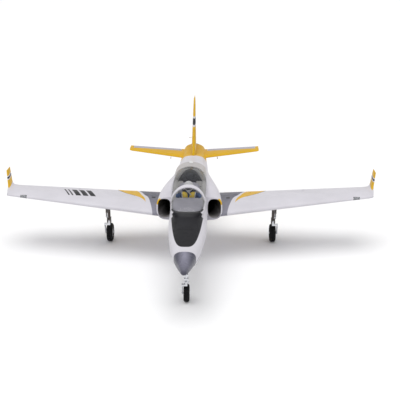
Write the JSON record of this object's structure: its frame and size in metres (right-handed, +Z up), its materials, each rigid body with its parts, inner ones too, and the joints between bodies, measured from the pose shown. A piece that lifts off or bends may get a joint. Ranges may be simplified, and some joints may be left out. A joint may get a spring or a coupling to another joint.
{
  "type": "rc jet plane",
  "caption": "Ducted-fan model jet with a low swept wing, winglets, side intakes, a clear canopy over a pilot and retracting wheels.",
  "frame": {"origin": "centre of the bounding box on the ground plane that the wheels stand on", "axes": "+Z up, -Y towards the nose, +X towards the plane's left wing tip"},
  "size_m": [1.482, 1.425, 0.472],
  "materials": {
    "white_foam": null,
    "slate_plastic": "satin",
    "duct_plastic": "satin",
    "deck_black": "matte",
    "clear_canopy": "clear gloss",
    "lamp_lens": "clear gloss",
    "carbon": "satin",
    "motor_alloy": "satin",
    "fan_blades": "satin",
    "battery": null,
    "electronics": "satin",
    "nylon": "satin",
    "steel_wire": "bright",
    "retract_alloy": "anodised",
    "dark_leg": "anodised",
    "bright_alloy": "satin",
    "hub_alloy": "satin",
    "tyre_rubber": "matte",
    "pilot_suit": "matte"
  },
  "bodies": {
    "airframe": {"nose_cone": "slate_plastic", "fuselage_front": "white_foam", "fuselage_rear": "white_foam", "exhaust_nozzle": "slate_plastic", "thrust_tube": "duct_plastic", "intake_ducts": "duct_plastic", "fan_housing": "duct_plastic", "fan_motor": "motor_alloy", "battery_pack": "battery", "speed_controller": "electronics", "wing_left": "white_foam", "wing_right": "white_foam", "wing_spars": "carbon", "wing_lights": "lamp_lens", "fin": "white_foam", "stabilisers": "white_foam", "servos": "electronics", "retract_units": "retract_alloy"},
    "canopy_hatch": {"hatch_frame": "white_foam", "glare_deck": "deck_black", "windshield": "clear_canopy", "rear_canopy": "clear_canopy", "cockpit_tub": "slate_plastic", "pilot": "pilot_suit"},
    "catch": {"hatch_latch": "deck_black"},
    "rotor": {"fan_rotor": "fan_blades"},
    "nose_leg": {"nose_strut": "dark_leg"},
    "nose_steering_leg": {"nose_fork": "bright_alloy"},
    "nose_trailing_arm": {"nose_link": "bright_alloy"},
    "nose_wheel": {"nose_hub": "hub_alloy", "nose_tyre": "tyre_rubber"},
    "aileron_left_panel": {"aileron_left": "white_foam"},
    "aileron_left_servo_arm": {"aileron_arm_left": "nylon"},
    "aileron_left_push_rod": {"aileron_rod_left": "steel_wire"},
    "aileron_right_panel": {"aileron_right": "white_foam"},
    "aileron_right_servo_arm": {"aileron_arm_right": "nylon"},
    "aileron_right_push_rod": {"aileron_rod_right": "steel_wire"},
    "flap_left_panel": {"flap_left": "white_foam"},
    "flap_left_servo_arm": {"flap_arm_left": "nylon"},
    "flap_left_push_rod": {"flap_rod_left": "steel_wire"},
    "flap_right_panel": {"flap_right": "white_foam"},
    "flap_right_servo_arm": {"flap_arm_right": "nylon"},
    "flap_right_push_rod": {"flap_rod_right": "steel_wire"},
    "elevator_left_panel": {"elevator_left": "white_foam"},
    "elevator_left_servo_arm": {"elevator_arm_left": "nylon"},
    "elevator_left_push_rod": {"elevator_rod_left": "steel_wire"},
    "elevator_right_panel": {"elevator_right": "white_foam"},
    "elevator_right_servo_arm": {"elevator_arm_right": "nylon"},
    "elevator_right_push_rod": {"elevator_rod_right": "steel_wire"},
    "rudder_panel": {"rudder": "white_foam"},
    "rudder_servo_arm": {"rudder_arm": "nylon"},
    "rudder_push_rod": {"rudder_rod": "steel_wire"},
    "main_leg_left": {"main_strut_left": "dark_leg"},
    "main_trailing_arm_left": {"main_link_left": "bright_alloy"},
    "main_wheel_left": {"main_hub_left": "hub_alloy", "main_tyre_left": "tyre_rubber"},
    "main_leg_right": {"main_strut_right": "dark_leg"},
    "main_trailing_arm_right": {"main_link_right": "bright_alloy"},
    "main_wheel_right": {"main_hub_right": "hub_alloy", "main_tyre_right": "tyre_rubber"}
  },
  "joints": [
    {"name": "hatch_lift", "type": "slide", "parent": "airframe", "child": "canopy_hatch", "axis": [0, 0, 1], "range_m": [0, 0.14]},
    {"name": "latch_slide", "type": "slide", "parent": "airframe", "child": "catch", "axis": [0, 1, 0], "range_m": [0, 0.01], "stiffness_N_per_m": 200, "springref_m": -0.003},
    {"name": "fan_spin", "type": "hinge", "parent": "airframe", "child": "rotor", "pos_m": [0, 0.1015, 0.212], "axis": [0, 1, 0], "continuous": true},
    {"name": "aileron_left_hinge", "type": "hinge", "parent": "airframe", "child": "aileron_left_panel", "pos_m": [0.545, 0.11448, 0.21707], "axis": [0.9982, -0.0111, 0.0586], "range_deg": [-22, 22]},
    {"name": "aileron_left_arm_turn", "type": "hinge", "parent": "airframe", "child": "aileron_left_servo_arm", "pos_m": [0.54449, 0.05848, 0.21507], "axis": [0.9982, -0.0111, 0.0586], "range_deg": [-22, 22]},
    {"name": "aileron_left_rod_turn", "type": "hinge", "parent": "aileron_left_servo_arm", "child": "aileron_left_push_rod", "pos_m": [0.5459, 0.05847, 0.19111], "axis": [0.9982, -0.0111, 0.0586], "range_deg": [-22, 22]},
    {"name": "aileron_right_hinge", "type": "hinge", "parent": "airframe", "child": "aileron_right_panel", "pos_m": [-0.545, 0.11448, 0.21707], "axis": [0.9982, 0.0111, -0.0586], "range_deg": [-22, 22]},
    {"name": "aileron_right_arm_turn", "type": "hinge", "parent": "airframe", "child": "aileron_right_servo_arm", "pos_m": [-0.54449, 0.05848, 0.21507], "axis": [0.9982, 0.0111, -0.0586], "range_deg": [-22, 22]},
    {"name": "aileron_right_rod_turn", "type": "hinge", "parent": "aileron_right_servo_arm", "child": "aileron_right_push_rod", "pos_m": [-0.5459, 0.05847, 0.19111], "axis": [0.9982, 0.0111, -0.0586], "range_deg": [-22, 22]},
    {"name": "flap_left_hinge", "type": "hinge", "parent": "airframe", "child": "flap_left_panel", "pos_m": [0.396, 0.11614, 0.20832], "axis": [-0.9982, 0.0111, -0.0586], "range_deg": [0, 38]},
    {"name": "flap_left_arm_turn", "type": "hinge", "parent": "airframe", "child": "flap_left_servo_arm", "pos_m": [0.39545, 0.05615, 0.20632], "axis": [-0.9982, 0.0111, -0.0586], "range_deg": [0, 38]},
    {"name": "flap_left_rod_turn", "type": "hinge", "parent": "flap_left_servo_arm", "child": "flap_left_push_rod", "pos_m": [0.39697, 0.05613, 0.18037], "axis": [-0.9982, 0.0111, -0.0586], "range_deg": [-38, 0]},
    {"name": "flap_right_hinge", "type": "hinge", "parent": "airframe", "child": "flap_right_panel", "pos_m": [-0.396, 0.11614, 0.20832], "axis": [-0.9982, -0.0111, 0.0586], "range_deg": [0, 38]},
    {"name": "flap_right_arm_turn", "type": "hinge", "parent": "airframe", "child": "flap_right_servo_arm", "pos_m": [-0.39545, 0.05615, 0.20632], "axis": [-0.9982, -0.0111, 0.0586], "range_deg": [0, 38]},
    {"name": "flap_right_rod_turn", "type": "hinge", "parent": "flap_right_servo_arm", "child": "flap_right_push_rod", "pos_m": [-0.39697, 0.05613, 0.18037], "axis": [-0.9982, -0.0111, 0.0586], "range_deg": [-38, 0]},
    {"name": "elevator_left_hinge", "type": "hinge", "parent": "airframe", "child": "elevator_left_panel", "pos_m": [0.096, 0.59694, 0.2473], "axis": [0.9964, 0.0751, 0.0391], "range_deg": [-20, 20]},
    {"name": "elevator_left_arm_turn", "type": "hinge", "parent": "airframe", "child": "elevator_left_servo_arm", "pos_m": [0.10049, 0.53911, 0.2441], "axis": [0.9964, 0.0751, 0.0391], "range_deg": [-20, 20]},
    {"name": "elevator_left_rod_turn", "type": "hinge", "parent": "elevator_left_servo_arm", "child": "elevator_left_push_rod", "pos_m": [0.10123, 0.53917, 0.22511], "axis": [0.9964, 0.0751, 0.0391], "range_deg": [-20, 20]},
    {"name": "elevator_right_hinge", "type": "hinge", "parent": "airframe", "child": "elevator_right_panel", "pos_m": [-0.096, 0.59694, 0.2473], "axis": [0.9964, -0.0751, -0.0391], "range_deg": [-20, 20]},
    {"name": "elevator_right_arm_turn", "type": "hinge", "parent": "airframe", "child": "elevator_right_servo_arm", "pos_m": [-0.10049, 0.53911, 0.2441], "axis": [0.9964, -0.0751, -0.0391], "range_deg": [-20, 20]},
    {"name": "elevator_right_rod_turn", "type": "hinge", "parent": "elevator_right_servo_arm", "child": "elevator_right_push_rod", "pos_m": [-0.10123, 0.53917, 0.22511], "axis": [0.9964, -0.0751, -0.0391], "range_deg": [-20, 20]},
    {"name": "rudder_hinge", "type": "hinge", "parent": "airframe", "child": "rudder_panel", "pos_m": [0, 0.6225, 0.3], "axis": [0, -0.2466, -0.9691], "range_deg": [-25, 25]},
    {"name": "rudder_arm_turn", "type": "hinge", "parent": "airframe", "child": "rudder_servo_arm", "pos_m": [0, 0.56241, 0.31529], "axis": [0, -0.2466, -0.9691], "range_deg": [-25, 25]},
    {"name": "rudder_rod_turn", "type": "hinge", "parent": "rudder_servo_arm", "child": "rudder_push_rod", "pos_m": [-0.02, 0.56241, 0.31529], "axis": [0, -0.2466, -0.9691], "range_deg": [-25, 25]},
    {"name": "nose_retract", "type": "hinge", "parent": "airframe", "child": "nose_leg", "pos_m": [0, -0.5005, 0.174], "axis": [1, 0, 0], "range_deg": [0, 88]},
    {"name": "nose_steer", "type": "hinge", "parent": "nose_leg", "child": "nose_steering_leg", "pos_m": [0, -0.5005, 0.08], "axis": [0, 0, 1], "range_deg": [-20, 20]},
    {"name": "nose_suspension", "type": "hinge", "parent": "nose_steering_leg", "child": "nose_trailing_arm", "pos_m": [0, -0.5005, 0.08], "axis": [1, 0, 0], "range_deg": [0, 6], "stiffness_Nm_per_rad": 2, "springref_deg": -20.05},
    {"name": "nose_wheel_spin", "type": "hinge", "parent": "nose_trailing_arm", "child": "nose_wheel", "pos_m": [0, -0.4805, 0.031], "axis": [1, 0, 0], "continuous": true},
    {"name": "main_retract_left", "type": "hinge", "parent": "airframe", "child": "main_leg_left", "pos_m": [0.326, 0.0775, 0.19], "axis": [0, 1, 0], "range_deg": [0, 83.5]},
    {"name": "main_suspension_left", "type": "hinge", "parent": "main_leg_left", "child": "main_trailing_arm_left", "pos_m": [0.326, 0.0775, 0.092], "axis": [1, 0, 0], "range_deg": [0, 8], "stiffness_Nm_per_rad": 4, "springref_deg": -20.05},
    {"name": "main_wheel_left_spin", "type": "hinge", "parent": "main_trailing_arm_left", "child": "main_wheel_left", "pos_m": [0.326, 0.1025, 0.037], "axis": [1, 0, 0], "continuous": true},
    {"name": "main_retract_right", "type": "hinge", "parent": "airframe", "child": "main_leg_right", "pos_m": [-0.326, 0.0775, 0.19], "axis": [0, -1, 0], "range_deg": [0, 83.5]},
    {"name": "main_suspension_right", "type": "hinge", "parent": "main_leg_right", "child": "main_trailing_arm_right", "pos_m": [-0.326, 0.0775, 0.092], "axis": [1, 0, 0], "range_deg": [0, 8], "stiffness_Nm_per_rad": 4, "springref_deg": -20.05},
    {"name": "main_wheel_right_spin", "type": "hinge", "parent": "main_trailing_arm_right", "child": "main_wheel_right", "pos_m": [-0.326, 0.1025, 0.037], "axis": [1, 0, 0], "continuous": true}
  ],
  "couplings": [
    {"joint": "aileron_left_arm_turn", "follows": "aileron_left_hinge", "ratio": 1},
    {"joint": "aileron_left_rod_turn", "follows": "aileron_left_hinge", "ratio": -1},
    {"joint": "aileron_right_hinge", "follows": "aileron_left_hinge", "ratio": -1},
    {"joint": "aileron_right_arm_turn", "follows": "aileron_left_hinge", "ratio": -1},
    {"joint": "aileron_right_rod_turn", "follows": "aileron_left_hinge", "ratio": 1},
    {"joint": "flap_left_arm_turn", "follows": "flap_left_hinge", "ratio": 1},
    {"joint": "flap_left_rod_turn", "follows": "flap_left_hinge", "ratio": -1},
    {"joint": "flap_right_hinge", "follows": "flap_left_hinge", "ratio": 1},
    {"joint": "flap_right_arm_turn", "follows": "flap_left_hinge", "ratio": 1},
    {"joint": "flap_right_rod_turn", "follows": "flap_left_hinge", "ratio": -1},
    {"joint": "elevator_left_arm_turn", "follows": "elevator_left_hinge", "ratio": 1},
    {"joint": "elevator_left_rod_turn", "follows": "elevator_left_hinge", "ratio": -1},
    {"joint": "elevator_right_hinge", "follows": "elevator_left_hinge", "ratio": 1},
    {"joint": "elevator_right_arm_turn", "follows": "elevator_left_hinge", "ratio": 1},
    {"joint": "elevator_right_rod_turn", "follows": "elevator_left_hinge", "ratio": -1},
    {"joint": "rudder_arm_turn", "follows": "rudder_hinge", "ratio": 1},
    {"joint": "rudder_rod_turn", "follows": "rudder_hinge", "ratio": -1},
    {"joint": "main_retract_left", "follows": "nose_retract", "ratio": 0.94886},
    {"joint": "main_retract_right", "follows": "nose_retract", "ratio": 0.94886}
  ]
}
